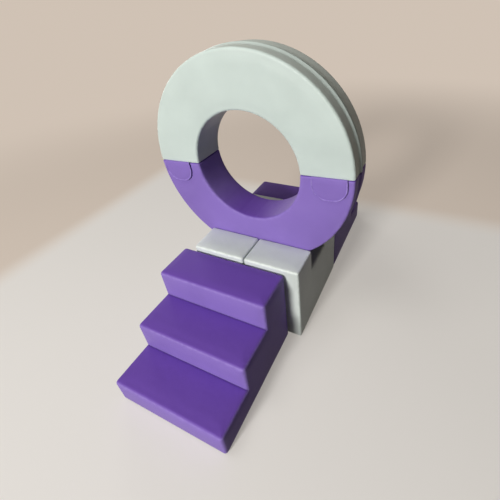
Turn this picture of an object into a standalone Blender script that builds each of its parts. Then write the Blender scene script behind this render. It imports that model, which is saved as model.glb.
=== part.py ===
"""Soft play foam climber: two flights of steps, a slotted base and a split ring standing in the slot.

Every module is a foam core in a zipped cover. Metres, +Z up. X runs across the steps and Y from the
front steps to the rear ones. The origin lies on the floor, below the ring's middle and half way
along the climber.
"""

import math

import bmesh
import bpy
from mathutils import Matrix, Vector

NAME = "soft_play_foam_climber"

# Fit
CLEARANCE = 0.0003
CUT_OVERRUN = 0.002
SHARP_ANGLE = math.radians(30)
ROUND_PROFILE_SHARE = 0.5
SHOWN_SEGMENTS = 3
HIDDEN_SEGMENTS = 2

# Covers and what closes them
COVER_WALL = 0.003
PANEL_MARGIN = 0.022
PANEL_CORNER_RADIUS = 0.030
PANEL_CORNER_SEGMENTS = 5
ZIP_WIDTH = 0.012
ZIP_EDGE_RADIUS = 0.0020
ZIP_SIDE_MARGIN = 0.045
STEPS_ZIP_HEIGHT = 0.040
BLOCK_ZIP_HEIGHT = 0.090
SLIDER_LENGTH = 0.012
SLIDER_WIDTH = 0.010
SLIDER_HEIGHT = 0.0030
SLIDER_NOSE_RADIUS = 0.0010
PULL_LENGTH = 0.018
PULL_WIDTH = 0.006
PULL_HEIGHT = 0.0014
PULL_OVERLAP = 0.004

# Base: two blocks side by side, with one slot across both
BLOCK_WIDTH = 0.297
BLOCK_HEIGHT = 0.470
PLATFORM_DEPTH = 0.181
BACK_DEPTH = 0.209
SLOT_DEPTH = 0.124
BLOCK_EDGE_RADIUS = 0.011
BASE_SHIFT = 0.030

# Steps: the same module at the front and turned round at the rear
STEP_COUNT = 3
STEPS_WIDTH = 0.594
STEP_TREAD = 0.2125
STEP_RISE = 0.154
FIRST_RISE = 0.140
STEPS_EDGE_RADIUS = 0.016
FRONT_STEPS_SHIFT = -0.037
REAR_STEPS_SHIFT = 0.031

# Ring: a purple lower half and a mint upper half
RING_OUTER_RADIUS = 0.524
RING_HOLE_RADIUS = 0.277
RING_THICKNESS = 0.196
RING_EDGE_RADIUS = 0.007
RING_ROLL = math.radians(2.0)
RING_ARC_STEPS = 34
SLOT_PLAY = 0.002
ZIP_RIDGE = 0.005
ZIP_END_MARGIN = 0.015
ARCH_SLIDER_ANGLE = math.radians(165)
LOWER_SLIDER_ANGLE = math.radians(195)

# Flaps that button the upper half to the lower one
FLAP_WIDTH = 0.160
FLAP_LENGTH = 0.109
FLAP_OUTWARD_SHIFT = 0.0135
FLAP_THICKNESS = 0.004
FLAP_CORNER_RADIUS = 0.068
FLAP_CORNER_SEGMENTS = 8
FLAP_EDGE_RADIUS = 0.0012
FLAP_HINGE_RISE = 0.004
FLAP_ROOT_HEIGHT = 0.003
FLAP_ROOT_INSET = 0.004
PAD_THICKNESS = 0.002
PAD_WIDTH = 0.110
PAD_HEIGHT = 0.060
PAD_DROP = 0.020
PAD_CORNER_RADIUS = 0.010
PAD_CORNER_SEGMENTS = 3

# Touch-fastener strips between the modules
MODULE_GAP = 0.006
STRIP_HEIGHT = 0.050
STRIP_CENTRE_HEIGHT = 0.280
STRIP_SIDE_MARGIN = 0.085
STRIP_CORNER_RADIUS = 0.008

# Worked out from the sizes above
SLOT_WIDTH = RING_THICKNESS + 2 * SLOT_PLAY
BLOCK_DEPTH = PLATFORM_DEPTH + SLOT_WIDTH + BACK_DEPTH
BLOCK_FRONT = -BLOCK_DEPTH / 2
BLOCK_REAR = BLOCK_DEPTH / 2
SLOT_FRONT = BLOCK_FRONT + PLATFORM_DEPTH
SLOT_REAR = SLOT_FRONT + SLOT_WIDTH
SLOT_FLOOR = BLOCK_HEIGHT - SLOT_DEPTH
BLOCK_OFFSET = (BLOCK_WIDTH + MODULE_GAP) / 2
STEPS_HEIGHT = FIRST_RISE + (STEP_COUNT - 1) * STEP_RISE
STEPS_BACK = BLOCK_REAR + MODULE_GAP
STRIP_THICKNESS = (MODULE_GAP - 3 * CLEARANCE) / 2
CORE_INSET = COVER_WALL + CLEARANCE
RING_Y = (SLOT_FRONT + SLOT_REAR) / 2
RING_Z = SLOT_FLOOR + CLEARANCE + ZIP_RIDGE + RING_OUTER_RADIUS
RING_FACE = RING_THICKNESS / 2
RING_END_GAP = CLEARANCE / 2
FLAP_RADIUS = (RING_OUTER_RADIUS + RING_HOLE_RADIUS) / 2 + FLAP_OUTWARD_SHIFT
FLAP_STANDOFF = 2 * PAD_THICKNESS + 3 * CLEARANCE

PURPLE = (0.225, 0.135, 0.455)
MINT = (0.62, 0.72, 0.66)
PALE_GREY = (0.60, 0.66, 0.63)
FOAM_CREAM = (0.78, 0.74, 0.62)
PANEL_GREY = (0.055, 0.055, 0.060)
FASTENER_BLACK = (0.020, 0.020, 0.022)
SLIDER_GREY = (0.30, 0.30, 0.31)


def clear_scene():
    for item in list(bpy.data.objects):
        bpy.data.objects.remove(item, do_unlink=True)


def collection(name):
    made = bpy.data.collections.new(name)
    bpy.context.scene.collection.children.link(made)
    return made


def material(name, colour, roughness, metallic=0.0):
    made = bpy.data.materials.new(name)
    made.use_nodes = True
    surface = made.node_tree.nodes["Principled BSDF"]
    surface.inputs["Base Color"].default_value = (*colour, 1.0)
    surface.inputs["Roughness"].default_value = roughness
    surface.inputs["Metallic"].default_value = metallic
    made.diffuse_color = (*colour, 1.0)
    return made


def leather(name, colour):
    return material(name, colour, 0.42)


def foam(name):
    return material(name, FOAM_CREAM, 0.95)


def fastener(name):
    return material(name, FASTENER_BLACK, 0.90)


def across(u, v, w):
    """An outline drawn in Y and Z, stretched along X."""
    return Vector((w, u, v))


def through(u, v, w):
    """An outline drawn in X and Z, stretched along Y."""
    return Vector((u, w, v))


def upright(u, v, w):
    """An outline drawn in X and Y, stretched along Z."""
    return Vector((u, v, w))


def inset(outline, distance):
    """The outline with each side moved inwards, parallel to itself."""
    moved = []
    for index, here in enumerate(outline):
        before = outline[index - 1]
        after = outline[(index + 1) % len(outline)]
        first = (here - before).normalized()
        second = (after - here).normalized()
        inwards = Vector((-first.y, first.x)) + Vector((-second.y, second.x))
        moved.append(here + inwards * (distance / (1 + first.dot(second))))
    return moved


def mirrored(outline, axis):
    """The outline on the other side of its first (0) or second (1) axis, still anticlockwise."""
    flip = Vector((-1, 1)) if axis == 0 else Vector((1, -1))
    return [point * flip for point in reversed(outline)]


def rounded_rectangle(width, height, radius, segments):
    """A rectangle about the origin with its four corners rounded."""
    points = []
    for quarter in range(4):
        turn = quarter * math.pi / 2
        across_sign = 1 if quarter in (0, 3) else -1
        up_sign = 1 if quarter in (0, 1) else -1
        centre = Vector((across_sign * (width / 2 - radius), up_sign * (height / 2 - radius)))
        for step in range(segments + 1):
            angle = turn + step * math.pi / 2 / segments
            points.append(centre + radius * Vector((math.cos(angle), math.sin(angle))))
    return points


def shape(outline, width, axes, radius=0, segments=HIDDEN_SEGMENTS):
    """A solid: the outline stretched to a width about its plane, its outer edges rounded."""
    made = bmesh.new()
    face = made.faces.new([made.verts.new(axes(u, v, -width / 2)) for u, v in outline])
    swept = bmesh.ops.extrude_face_region(made, geom=[face])
    moved = [item for item in swept["geom"] if isinstance(item, bmesh.types.BMVert)]
    bmesh.ops.translate(made, verts=moved, vec=axes(0, 0, width))
    bmesh.ops.recalc_face_normals(made, faces=made.faces)
    if radius:
        sharp = [edge for edge in made.edges if edge.calc_face_angle_signed() > SHARP_ANGLE]
        bmesh.ops.bevel(
            made, geom=sharp, offset=radius, segments=segments, profile=ROUND_PROFILE_SHARE, affect="EDGES"
        )
        bmesh.ops.triangulate(made, faces=made.faces, quad_method="FIXED")
    return made


def box(width, depth, height):
    made = bmesh.new()
    bmesh.ops.create_cube(made, size=1, matrix=Matrix.Diagonal((width, depth, height, 1)))
    return made


def anchor(name, place, parent=None, turn=(0, 0, 0)):
    """An empty that carries a module or holds a joint's axis."""
    made = bpy.data.objects.new(name, None)
    made.empty_display_size = MODULE_GAP
    made.location = place
    made.rotation_euler = turn
    made.parent = parent
    PARTS.objects.link(made)
    return made


def place_solid(name, geometry, parent, offset, group):
    mesh = bpy.data.meshes.new(name)
    geometry.to_mesh(mesh)
    geometry.free()
    made = bpy.data.objects.new(name, mesh)
    made.location = offset
    made.parent = parent
    group.objects.link(made)
    return made


def piece(name, geometry, finish, parent, offset=(0, 0, 0)):
    """One sub-part, with its own material."""
    made = place_solid(name, geometry, parent, offset, PARTS)
    made.data.materials.append(finish)
    made.data.shade_smooth()
    made.data.set_sharp_from_angle(angle=SHARP_ANGLE)
    return made


def cutter(name, geometry, parent, offset=(0, 0, 0)):
    made = place_solid(name, geometry, parent, offset, CUTTERS)
    made.display_type = "WIRE"
    made.hide_render = True
    return made


def combine(target, tool, operation="DIFFERENCE"):
    change = target.modifiers.new(tool.name, "BOOLEAN")
    change.operation = operation
    change.solver = "EXACT"
    change.object = tool


def steps_outline():
    """Side view of the steps that climb towards +Y and end at Y = 0."""
    points = [Vector((-STEP_COUNT * STEP_TREAD, 0)), Vector((0, 0)), Vector((0, STEPS_HEIGHT))]
    for step in range(1, STEP_COUNT + 1):
        height = STEPS_HEIGHT - (step - 1) * STEP_RISE
        points.append(Vector((-step * STEP_TREAD, height)))
        if step < STEP_COUNT:
            points.append(Vector((-step * STEP_TREAD, height - STEP_RISE)))
    return points


def block_outline():
    """Side view of a base block, with the slot that the ring stands in."""
    return [
        Vector((BLOCK_FRONT, 0)),
        Vector((BLOCK_REAR, 0)),
        Vector((BLOCK_REAR, BLOCK_HEIGHT)),
        Vector((SLOT_REAR, BLOCK_HEIGHT)),
        Vector((SLOT_REAR, SLOT_FLOOR)),
        Vector((SLOT_FRONT, SLOT_FLOOR)),
        Vector((SLOT_FRONT, BLOCK_HEIGHT)),
        Vector((BLOCK_FRONT, BLOCK_HEIGHT)),
    ]


def make_slider(name, parent, offset, along):
    """A zip's slider and its short pull, lying on +Z of its parent; along is 0 for X and 1 for Y."""
    body_size = (SLIDER_LENGTH, SLIDER_WIDTH) if along == 0 else (SLIDER_WIDTH, SLIDER_LENGTH)
    pull_size = (PULL_LENGTH, PULL_WIDTH) if along == 0 else (PULL_WIDTH, PULL_LENGTH)
    body = rounded_rectangle(*body_size, SLIDER_WIDTH / 4, HIDDEN_SEGMENTS)
    solid = shape(body, SLIDER_HEIGHT, upright, SLIDER_NOSE_RADIUS)
    made = piece(name, solid, material(name, SLIDER_GREY, 0.35, 0.6), parent, offset)
    tab = rounded_rectangle(*pull_size, PULL_WIDTH / 4, HIDDEN_SEGMENTS)
    reach = (SLIDER_LENGTH + PULL_LENGTH) / 2 - PULL_OVERLAP
    shift = Vector((reach, 0, 0)) if along == 0 else Vector((0, reach, 0))
    combine(made, cutter(name + "_pull", shape(tab, PULL_HEIGHT, upright), parent, Vector(offset) + shift), "UNION")
    return made


def make_block(name, outline, width, depth_span, radius, colour, parent, zip_face, zip_height):
    """A floor-standing module: cover, foam core, non-slip panel, zip and slider."""
    near, far = depth_span
    middle = (near + far) / 2
    panel = rounded_rectangle(
        width - 2 * PANEL_MARGIN, far - near - 2 * PANEL_MARGIN, PANEL_CORNER_RADIUS, PANEL_CORNER_SEGMENTS
    )
    zip_length = width - 2 * ZIP_SIDE_MARGIN
    outwards = 1 if zip_face == far else -1
    zip_place = Vector((0, zip_face - outwards * COVER_WALL / 2, zip_height))

    cover = piece(
        name + "_cover", shape(outline, width, across, radius, SHOWN_SEGMENTS), leather(name + "_cover", colour), parent
    )
    cavity = shape(inset(outline, COVER_WALL), width - 2 * COVER_WALL, across, radius - COVER_WALL)
    combine(cover, cutter(name + "_cavity", cavity, parent))
    opening = shape(panel, COVER_WALL + 2 * CUT_OVERRUN, upright)
    combine(cover, cutter(name + "_panel_opening", opening, parent, (0, middle, COVER_WALL / 2)))
    slot = box(zip_length, COVER_WALL + 2 * CUT_OVERRUN, ZIP_WIDTH)
    combine(cover, cutter(name + "_zip_slot", slot, parent, zip_place))

    core = shape(inset(outline, CORE_INSET), width - 2 * CORE_INSET, across, radius - CORE_INSET)
    piece(name + "_core", core, foam(name + "_core"), parent)

    sole = shape(inset(panel, CLEARANCE), COVER_WALL, upright)
    piece(
        name + "_base_panel", sole, material(name + "_base_panel", PANEL_GREY, 0.85), parent, (0, middle, COVER_WALL / 2)
    )

    chain = box(zip_length - 2 * CLEARANCE, COVER_WALL, ZIP_WIDTH - 2 * CLEARANCE)
    piece(name + "_zip", chain, leather(name + "_zip", colour), parent, zip_place)

    slider_lift = CLEARANCE + SLIDER_HEIGHT / 2
    slider_start = -zip_length / 2 + SLIDER_LENGTH
    start = anchor(
        name + "_zip_start",
        (slider_start, zip_face + outwards * slider_lift, zip_height),
        parent,
        (-outwards * math.pi / 2, 0, 0),
    )
    make_slider(name + "_zip_slider", start, (0, 0, 0), 0)


def arc_angles():
    """Angles of the facets' corners on the upper half, shared by every piece of the ring."""
    first = ZIP_END_MARGIN / RING_OUTER_RADIUS
    return [first + (math.pi - 2 * first) * step / RING_ARC_STEPS for step in range(RING_ARC_STEPS + 1)]


def on_circle(radius, angle):
    return radius * Vector((math.cos(angle), math.sin(angle)))


def half_ring_outline():
    """Front view of the upper half, from its flat end at +X round to the one at -X."""
    points = []
    for radius, order in ((RING_OUTER_RADIUS, 1), (RING_HOLE_RADIUS, -1)):
        end = math.sqrt(radius**2 - RING_END_GAP**2)
        arc = [Vector((end, RING_END_GAP))]
        arc += [on_circle(radius, angle) for angle in arc_angles()]
        arc += [Vector((-end, RING_END_GAP))]
        points += arc[::order]
    return points


def rim_band_outline(inner, outer, shorten):
    """Front view of a band along the rim of the upper half, from zip end to zip end."""
    angles = arc_angles()
    angles[0] += shorten / outer
    angles[-1] -= shorten / outer
    return [on_circle(outer, angle) for angle in angles] + [on_circle(inner, angle) for angle in reversed(angles)]


def make_half_ring(name, side, colour, parent):
    """One half of the ring: cover, foam core, and the zip that stands proud along the rim."""

    def view(outline):
        return outline if side > 0 else mirrored(outline, 1)

    outline = view(half_ring_outline())
    cover = piece(
        name + "_cover",
        shape(outline, RING_THICKNESS, through, RING_EDGE_RADIUS, SHOWN_SEGMENTS),
        leather(name + "_cover", colour),
        parent,
    )
    cavity = shape(
        inset(outline, COVER_WALL), RING_THICKNESS - 2 * COVER_WALL, through, RING_EDGE_RADIUS - COVER_WALL
    )
    combine(cover, cutter(name + "_cavity", cavity, parent))
    slot = rim_band_outline(RING_OUTER_RADIUS - COVER_WALL - CUT_OVERRUN, RING_OUTER_RADIUS + CUT_OVERRUN, 0)
    combine(cover, cutter(name + "_zip_slot", shape(view(slot), ZIP_WIDTH, through), parent))

    core = shape(
        inset(outline, CORE_INSET), RING_THICKNESS - 2 * CORE_INSET, through, RING_EDGE_RADIUS - CORE_INSET
    )
    piece(name + "_core", core, foam(name + "_core"), parent)

    band = rim_band_outline(RING_OUTER_RADIUS - COVER_WALL, RING_OUTER_RADIUS + ZIP_RIDGE, CLEARANCE)
    chain = shape(view(band), ZIP_WIDTH - 2 * CLEARANCE, through, ZIP_EDGE_RADIUS)
    piece(name + "_rim_zip", chain, leather(name + "_rim_zip", colour), parent)


def make_rim_slider(name, angle, parent):
    """The slider of a rim zip, with its origin on the ring's axis."""
    axis = anchor(name + "_axis", (0, 0, 0), parent, (0, math.pi / 2 - angle, 0))
    reach = RING_OUTER_RADIUS + ZIP_RIDGE + CLEARANCE + SLIDER_HEIGHT / 2
    make_slider(name, axis, (0, 0, reach), 0)


def flap_outline():
    """The flap seen from its own front: its hinge edge on Z = 0, round lower corners."""
    side = FLAP_WIDTH / 2
    turn = side - FLAP_CORNER_RADIUS
    points = [Vector((side, 0)), Vector((-side, 0))]
    for corner in (-1, 1):
        for step in range(FLAP_CORNER_SEGMENTS + 1):
            angle = math.pi / 2 * (corner + 3 + step / FLAP_CORNER_SEGMENTS - (corner + 1) / 2)
            centre = Vector((corner * turn, FLAP_CORNER_RADIUS - FLAP_LENGTH))
            points.append(centre + on_circle(FLAP_CORNER_RADIUS, angle))
    return points


def make_flap(name, face, side, parent):
    """A flap, its hook pad, and the loop pad that it closes on; face is -1 at the front, 1 at the rear."""
    turn = (0, 0, 0) if face < 0 else (0, 0, math.pi)
    hinge_place = (side * FLAP_RADIUS, face * (RING_FACE + FLAP_STANDOFF), RING_END_GAP + FLAP_HINGE_RISE)
    hinge = anchor(name + "_hinge", hinge_place, parent, turn)
    plate = shape(flap_outline(), FLAP_THICKNESS, through, FLAP_EDGE_RADIUS)
    made = piece(name, plate, leather(name, PURPLE), hinge, (0, -FLAP_THICKNESS / 2, 0))
    root_depth = FLAP_STANDOFF + CLEARANCE + FLAP_THICKNESS / 2
    root = box(FLAP_WIDTH - 2 * FLAP_ROOT_INSET, root_depth, FLAP_ROOT_HEIGHT)
    root_place = (0, root_depth / 2 - FLAP_THICKNESS / 2, -FLAP_EDGE_RADIUS - FLAP_ROOT_HEIGHT / 2)
    combine(made, cutter(name + "_root", root, hinge, root_place), "UNION")

    pad = rounded_rectangle(PAD_WIDTH, PAD_HEIGHT, PAD_CORNER_RADIUS, PAD_CORNER_SEGMENTS)
    pad_z = -PAD_DROP - PAD_HEIGHT / 2
    hook_place = (0, CLEARANCE + PAD_THICKNESS / 2, pad_z)
    piece(name + "_hook_pad", shape(pad, PAD_THICKNESS, through), fastener(name + "_hook_pad"), hinge, hook_place)
    loop_place = (
        side * FLAP_RADIUS,
        face * (RING_FACE + CLEARANCE + PAD_THICKNESS / 2),
        RING_END_GAP + FLAP_HINGE_RISE + pad_z,
    )
    piece(name + "_loop_pad", shape(pad, PAD_THICKNESS, through), fastener(name + "_loop_pad"), parent, loop_place)


def make_strip(name, length, axes, parent, offset):
    outline = rounded_rectangle(length, STRIP_HEIGHT, STRIP_CORNER_RADIUS, PAD_CORNER_SEGMENTS)
    piece(name, shape(outline, STRIP_THICKNESS, axes), fastener(name), parent, offset)


def make_steps(name, shift, end):
    """One flight of steps; end is -1 for the front flight and 1 for the rear one."""
    module = anchor(name, (shift, end * STEPS_BACK, 0))
    run = STEP_COUNT * STEP_TREAD
    outline = steps_outline() if end < 0 else mirrored(steps_outline(), 0)
    span = (-run, 0) if end < 0 else (0, run)
    make_block(name, outline, STEPS_WIDTH, span, STEPS_EDGE_RADIUS, PURPLE, module, 0, STEPS_ZIP_HEIGHT)
    strip_place = (0, -end * (CLEARANCE + STRIP_THICKNESS / 2), STRIP_CENTRE_HEIGHT)
    make_strip(name + "_hook_strip", STEPS_WIDTH - 2 * STRIP_SIDE_MARGIN, through, module, strip_place)


def make_base_block(name, side):
    """One base block, its loop strips for the steps, and its half of the joint with the other block."""
    module = anchor(name, (BASE_SHIFT + side * BLOCK_OFFSET, 0, 0))
    span = (BLOCK_FRONT, BLOCK_REAR)
    make_block(
        name, block_outline(), BLOCK_WIDTH, span, BLOCK_EDGE_RADIUS, PALE_GREY, module, BLOCK_REAR, BLOCK_ZIP_HEIGHT
    )
    reach = CLEARANCE + STRIP_THICKNESS / 2
    length = BLOCK_WIDTH - 2 * STRIP_SIDE_MARGIN
    for word, end in (("front", -1), ("rear", 1)):
        strip_place = (0, end * (BLOCK_REAR + reach), STRIP_CENTRE_HEIGHT)
        make_strip(f"{name}_{word}_loop_strip", length, through, module, strip_place)
    word = "hook" if side < 0 else "loop"
    strip_place = (-side * (BLOCK_WIDTH / 2 + reach), 0, STRIP_CENTRE_HEIGHT - STRIP_HEIGHT)
    make_strip(f"{name}_side_{word}_strip", BLOCK_DEPTH - 2 * STRIP_SIDE_MARGIN, across, module, strip_place)


def make_ring():
    """Both halves, turned together by the small roll with which the ring stands in its slot."""
    ring = anchor("ring", (0, RING_Y, RING_Z), None, (0, -RING_ROLL, 0))
    make_half_ring("lower_ring", -1, PURPLE, ring)
    make_rim_slider("lower_ring_zip_slider", LOWER_SLIDER_ANGLE, ring)
    make_half_ring("upper_arch", 1, MINT, ring)
    make_rim_slider("upper_arch_zip_slider", ARCH_SLIDER_ANGLE, ring)
    for face_word, face in (("front", -1), ("rear", 1)):
        for side_word, side in (("left", -1), ("right", 1)):
            make_flap(f"{face_word}_{side_word}_flap", face, side, ring)


clear_scene()
PARTS = collection(NAME)
CUTTERS = collection("cutters")
make_steps("front_steps", FRONT_STEPS_SHIFT, -1)
make_steps("rear_steps", REAR_STEPS_SHIFT, 1)
make_base_block("left_base", -1)
make_base_block("right_base", 1)
make_ring()
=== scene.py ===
"""Soft play foam climber: two flights of steps, a slotted base and a split ring, in leather covers over foam.

Each cover is a grid of panels, open at its zip and its sole, that is filled like a cushion while its seams
are held and then given its wall. Thread, zips and flaps are added on the modules that carry them.
Metres, +Z up, X across the steps and Y from the front steps to the rear ones.
"""

import math

import bmesh
import bpy
import numpy as np
from mathutils import Matrix, Vector, noise
from mathutils.bvhtree import BVHTree


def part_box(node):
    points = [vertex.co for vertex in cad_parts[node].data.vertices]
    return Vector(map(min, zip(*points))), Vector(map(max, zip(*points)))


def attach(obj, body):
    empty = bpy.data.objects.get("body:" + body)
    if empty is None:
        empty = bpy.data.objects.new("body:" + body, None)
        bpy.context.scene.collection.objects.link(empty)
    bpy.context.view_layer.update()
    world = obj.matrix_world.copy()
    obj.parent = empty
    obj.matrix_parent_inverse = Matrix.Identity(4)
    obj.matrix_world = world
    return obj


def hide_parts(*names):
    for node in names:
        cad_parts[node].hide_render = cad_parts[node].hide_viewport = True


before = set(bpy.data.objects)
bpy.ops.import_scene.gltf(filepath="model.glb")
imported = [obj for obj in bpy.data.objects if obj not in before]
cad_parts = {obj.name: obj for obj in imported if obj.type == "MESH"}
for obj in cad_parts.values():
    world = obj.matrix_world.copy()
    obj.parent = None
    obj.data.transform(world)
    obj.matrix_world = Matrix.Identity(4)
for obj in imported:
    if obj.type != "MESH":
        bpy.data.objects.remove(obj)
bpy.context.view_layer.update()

bl_info = {
    "name": "Soft play foam climber",
    "version": (1, 0, 0),
    "blender": (4, 5, 0),
    "location": "3D View > Sidebar > Climber",
    "description": "Covers, foam, zips and flaps of a soft play foam climber",
    "category": "Object",
}

# Modules, as they are cut
STEP_COUNT = 3
STEP_TREAD = 0.2125
STEP_RISE = 0.154
SLOT_FRONT = -0.114
SLOT_REAR = 0.086
SLOT_FLOOR = 0.346
PANEL_MARGIN = 0.022
PANEL_CORNER = 0.030
PANEL_EASING = 0.7
SOLE_OPENING_HEIGHTS = (-0.01, 0.001)
ZIP_WIDTH = 0.012
ZIP_SIDE_MARGIN = 0.045
ZIP_OPENING_REACH = 0.005
STEPS_ZIP_HEIGHT = 0.040
BLOCK_ZIP_HEIGHT = 0.090
CORE_INSET = 0.0033
CORE_GROOVE_SHARE = 0.2

# Ring, in its own frame: X across, Z up, Y through the hole
RING_OUTER = 0.524
RING_HOLE = 0.277
RING_THICKNESS = 0.196
RING_END_GAP = 0.00015
SPLIT_EDGE_SHARE = 0.5
RING_CENTRE = (0, -0.014, 0.8753)
RING_ROLL = math.radians(2)
RING_PLACE = Matrix.Translation(RING_CENTRE) @ Matrix.Rotation(-RING_ROLL, 4, "Y")
ZIP_END_MARGIN = 0.015
RIM_OPENING_REACH = 0.001
WELT_END_MARGIN = 0.004
RIM_STATIONS = 180
SQUARE_REACH = 0.030

# Filling of the covers, and the unevenness of the foam under them
FILL_FRAMES = 16
FILLING = {
    "use_pressure": True,
    "tension_stiffness": 30,
    "compression_stiffness": 30,
    "bending_stiffness": 2,
    "air_damping": 4,
}
LUMP_SIZE = 0.11
LUMP_SHIFT = (3.7, 1.3, 2.1)
CALM_REACH = 0.03
STEPS_SEED = 1
BLOCK_SEED = 5
RING_SEED = 9

# Where covers swell: a surface faces a way where its direction passes FACING, and leans that way past
# LEANING; the shares are of the full swell
FACING = 0.7
LEANING = 0.5
BLOCK_TOP_DEPTH = 0.03
SPLIT_FACING = 0.9
SPLIT_REACH = 0.02
SLOT_CLEARANCE = 0.02
SLOT_SHARE = 0.15
WRAP_SHARE = 0.4

# Where swelling, the painted shade on treads or a welt's fall begins, and how far on it is full
SIDE_SWELL = (0.10, 0.08)
WRAP_SWELL = (0.01, 0.05)
TREAD_SHADE = (0.6, 0.35)
WELT_FALL = (0.12, 0.25)

# How far the looks of a seam, a rounded edge (in radii) and a fold spread
SEAM_REACH = 0.030
EDGE_REACH = 1.6
FOLD_REACH = 0.014

# Outlines across a zip: how far across, and how far out of the cover
TAPE_OUTLINE = (
    (-0.0057, -0.0030), (0.0057, -0.0030), (0.0057, -0.0004), (0.0050, -0.0001), (0.0042, -0.0010),
    (0.0036, -0.0020), (-0.0036, -0.0020), (-0.0042, -0.0010), (-0.0050, -0.0001), (-0.0057, -0.0004),
)
RIM_TAPE_OUTLINE = ((-0.0057, -0.0030), (0.0057, -0.0030), (0.0057, 0.0024), (-0.0057, 0.0024))
FRONT_WELT = (
    (-0.0056, -0.0004), (-0.0057, 0.0028), (-0.0061, 0.0050), (-0.0070, 0.0064),
    (-0.0084, 0.0069), (-0.0102, 0.0067), (-0.0126, 0.0057), (-0.0155, 0.0042),
    (-0.0188, 0.0026), (-0.0222, 0.0013), (-0.0258, 0.0003), (-0.0258, -0.0006),
)
REAR_WELT = (
    (0.0056, -0.0004), (0.0112, -0.0004), (0.0116, 0.0012), (0.0110, 0.0030),
    (0.0096, 0.0042), (0.0078, 0.0043), (0.0064, 0.0036), (0.0057, 0.0024),
)
LOWEST_WELT = 0.56
TAPE_CLEARANCE = 0.0003
TAPE_STATIONS = 60
TAPE_FLOOR = -0.0020
RIM_TAPE_FLOOR = 0.0024
TOOTH_ROW_OFFSET = 0.0011
TOOTH_ROW_SHIFT = 0.25
TOOTH_SHARE = 0.46

# Rows of stitches and teeth
ROW_SIZES = ("Pitch", "Length", "Width", "Height")
WELT_STITCH_LINES = (-0.0292, 0.0155)
SLOT_STITCH_MARGIN = 0.01
SPLIT_STITCH_MARGIN = 0.012
SEAM_RUN_STEP = 0.004
SHORTEST_RUN = 3

# Flaps, each in the frame of its hinge
FLAP_WIDTH = 0.160
FLAP_LENGTH = 0.109
FLAP_THICKNESS = 0.004
FLAP_CORNER = 0.068
FLAP_ROOT_DROP = 0.0027
FLAP_ROOT_REACH = 0.0049
FLAP_ROOT_SINK = 0.4
FLAP_HINGE = (0.414, RING_THICKNESS / 2 + FLAP_ROOT_REACH, 0.00415)
FLAP_STEP = 0.0042
FLAP_GROOVE = 0.0004
FLAP_EDGE_SHARE = 0.9
FLAP_BORDER = 0.007
FLAP_BORDER_TOP = 0.012
FLAP_CROWN = 0.0016
FLAP_CROWN_RUN = 0.02
FLAP_SEAM_REACH = 0.012
FLAP_EDGE_REACH = 0.004
CORNER_STATIONS = 40
LINE_STEP = 0.0015

# Lines pressed into a flap and raised on it: height, width, and how far below the hinge they begin
SEWN_LINE = (0.0007, 0.0016, 0.010)
ROLLED_LINE = (0.0005, 0.0025, 0.006)
ROLLED_LINE_INSET = 0.003

# Piping of the flaps; its levels in the plate give its middle and the way to the front
PIPING_INSET = 0.0012
PIPING_TOP = 0.009
PIPING_LEVELS = (0.0004, 0.0014)
PIPING_SIDES = 12
PIPING_TAPER = 0.5
PIPING_RUN = 0.022
# Edge share on the piping, paling it: partly wear, partly a painted highlight
PIPING_WEAR_AND_HIGHLIGHT = 3.0

# Noise in the finishes: spots to the metre, and levels of detail
DRIFT = (3.1, 3.0)
CLOUD = (11.0, 4.0)
RUB = (42.0, 5.0)
PORES = (1500.0, 2.0)
PUCKER = (62.0, 1.0)
RIPPLE = (17.0, 2.0)
FOAM_DRIFT = (40.0, 2.0)
SOLE_WEAVE = (900.0, 1.0)
METAL_WEAR = (420.0, 4.0)
METAL_GRAIN = (1800.0, 2.0)
FLOOR_CLOUD = (1.3, 2.0)

# Cells and dots to the metre, and the noise that bends cells: spots to the metre, and how far
PEBBLES = 520.0
FOAM_CELLS = 900.0
TAPE_FUZZ = 700.0
SOLE_DOTS = 125.0
PEBBLE_STIR = (160.0, 0.004)
FUZZ_STIR = (300.0, 0.002)

# Depths of the relief in the finishes
GRAIN_DEPTH = 0.00018
PUCKER_DEPTH = 0.0016
FOAM_DEPTH = 0.0006
SOLE_DEPTH = 0.0007
TAPE_DEPTH = 0.0008
METAL_DEPTH = 0.00004

# Studio
PICTURE = 500
SENSOR = 36
CAMERA_PLACE = (0.7855, -1.3028, 1.5622)
CAMERA_TURN = (2.14567, 0.44559, -0.34341)
CAMERA_FOCAL = 328.75
CAMERA_CENTRE = (272.94, 216.62)
CAMERA_RANGE = (0.05, 100)
KEY_PLACE = (-0.95, -9.25, 4.05)
KEY_TARGET = (0.0, -0.1, 0.6)
KEY_COLOUR = (1.0, 0.985, 0.965)
TOP_PLACE = (-1.3, -1.6, 4.75)
TOP_TARGET = (0, 0, 0.3)
TOP_SIZE = 2.2
TOP_COLOUR = (1.0, 0.99, 0.96)
REAR_PLACE = (-6.3, 4.9, 2.0)
REAR_SIZE = 3.0
SKY_COLOUR = (1.0, 0.96, 0.91, 1)
GLOW_COLOUR = (0.95, 0.89, 0.82, 1.0)
BACKDROP_GLOW = 0.2
BACKDROP_LIFT = 1.35
FLOOR_REACH = 30
FLOOR_LEVEL = -0.0005
FLOOR_FADE = (2.5, 6.0)
FLOOR_LEFT = -1.72
FLOOR_BACK = 0.96
FLOOR_EDGE = 0.30

# What counts as touching, as equally near and as no distance, and the least length to divide by
TOUCH = 1e-6
TIE = 1e-7
SLIGHT = 1e-5
LEAST = 1e-9

# Turns, in degrees, at which grid lines follow a rounded edge, and the turn from which an edge is sharp
ROUNDING_TURNS = (30, 15, 0)
SHARP_ANGLE = math.radians(50)


def colour_property(name, description, default):
    return bpy.props.FloatVectorProperty(
        name=name, description=description, subtype="COLOR", size=3, min=0, max=1, default=default
    )


def number_property(name, description, default, low, high, unit="NONE"):
    return bpy.props.FloatProperty(
        name=name, description=description, default=default, min=low, max=high, unit=unit
    )


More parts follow.
